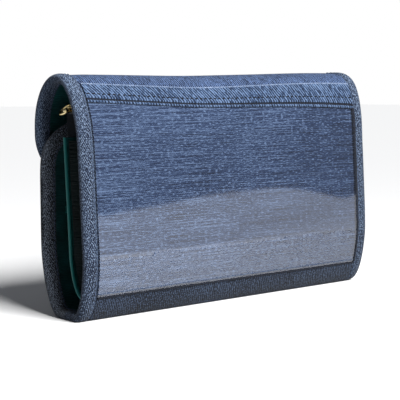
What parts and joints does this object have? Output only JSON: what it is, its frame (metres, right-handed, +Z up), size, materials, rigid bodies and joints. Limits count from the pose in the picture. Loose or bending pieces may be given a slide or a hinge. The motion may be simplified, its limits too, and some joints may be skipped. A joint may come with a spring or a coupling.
{
  "type": "travel jewelry case",
  "caption": "Denim fold-over travel jewelry case with a clear back window pocket, bound edges, magnetic flap, zipped satin pouch and a padded front panel.",
  "frame": {"origin": "on the table under the middle of the closed case", "axes": "+X along the case, +Y out of the flap side, +Z up; the clear window faces -Y"},
  "size_m": [0.248, 0.0568, 0.152],
  "materials": {
    "denim": "washed blue denim, twill with pale weft flecks",
    "denim_binding": "bias-cut denim tape folded over the edge",
    "satin_lining": "teal satin lining",
    "satin_pouch": "teal satin with a soft sheen",
    "stiffener_board": "plain grey-tan stiffener board",
    "clear_vinyl": "clear soft vinyl sheet, glossy",
    "zip_tape": "dark woven zip tape",
    "gold_metal": "polished pale gold plating",
    "magnet_steel": "nickel-plated magnet",
    "velvet": "teal velvet"
  },
  "bodies": {
    "back": {"back_cover": "denim", "back_lining": "satin_lining", "back_board": "stiffener_board", "bottom_board": "stiffener_board", "back_binding_left": "denim_binding", "back_binding_right": "denim_binding", "window_vinyl": "clear_vinyl", "window_top_border": "denim", "pouch_front": "satin_pouch", "pouch_gusset_left": "satin_pouch", "pouch_gusset_right": "satin_pouch", "zip_tape_front": "zip_tape", "zip_tape_back": "zip_tape", "zip_coil": "gold_metal", "zip_stop_left": "gold_metal", "zip_stop_right": "gold_metal"},
    "top_spine": {"spine_cover": "denim", "spine_lining": "satin_lining", "spine_board": "stiffener_board", "spine_binding_left": "denim_binding", "spine_binding_right": "denim_binding"},
    "flap": {"flap_cover": "denim", "flap_lining": "satin_lining", "flap_board": "stiffener_board", "flap_binding": "denim_binding", "flap_magnet": "magnet_steel"},
    "front": {"front_cover": "denim", "front_lining": "satin_lining", "front_board": "stiffener_board", "front_binding": "denim_binding", "front_magnet": "magnet_steel", "front_pocket": "satin_pouch", "front_pocket_hem": "satin_pouch", "earring_pad": "velvet", "ring_roll": "velvet", "ring_roll_band_left": "satin_pouch", "ring_roll_band_right": "satin_pouch"},
    "zip_slider": {"zip_slider": "gold_metal"},
    "zip_pull": {"zip_pull": "gold_metal"}
  },
  "joints": [
    {"name": "top_fold", "type": "hinge", "parent": "back", "child": "top_spine", "pos_m": [0, -0.01209, 0.14358], "axis": [1, 0, 0], "range_deg": [0, 120]},
    {"name": "flap_fold", "type": "hinge", "parent": "top_spine", "child": "flap", "pos_m": [0, 0.0284, 0.118], "axis": [1, 0, 0], "range_deg": [0, 60]},
    {"name": "front_fold", "type": "hinge", "parent": "back", "child": "front", "pos_m": [0, 0.02051, 0.02275], "axis": [-1, 0, 0], "range_deg": [0, 72]},
    {"name": "zip_slide", "type": "slide", "parent": "back", "child": "zip_slider", "axis": [1, 0, 0], "range_m": [0, 0.222]},
    {"name": "pull_swing", "type": "hinge", "parent": "zip_slider", "child": "zip_pull", "pos_m": [-0.111, 0.0008, 0.1326], "axis": [1, 0, 0], "range_deg": [0, 190]}
  ],
  "couplings": [
    {"joint": "flap_fold", "follows": "top_fold", "ratio": 0.5},
    {"joint": "front_fold", "follows": "top_fold", "ratio": 0.6}
  ]
}
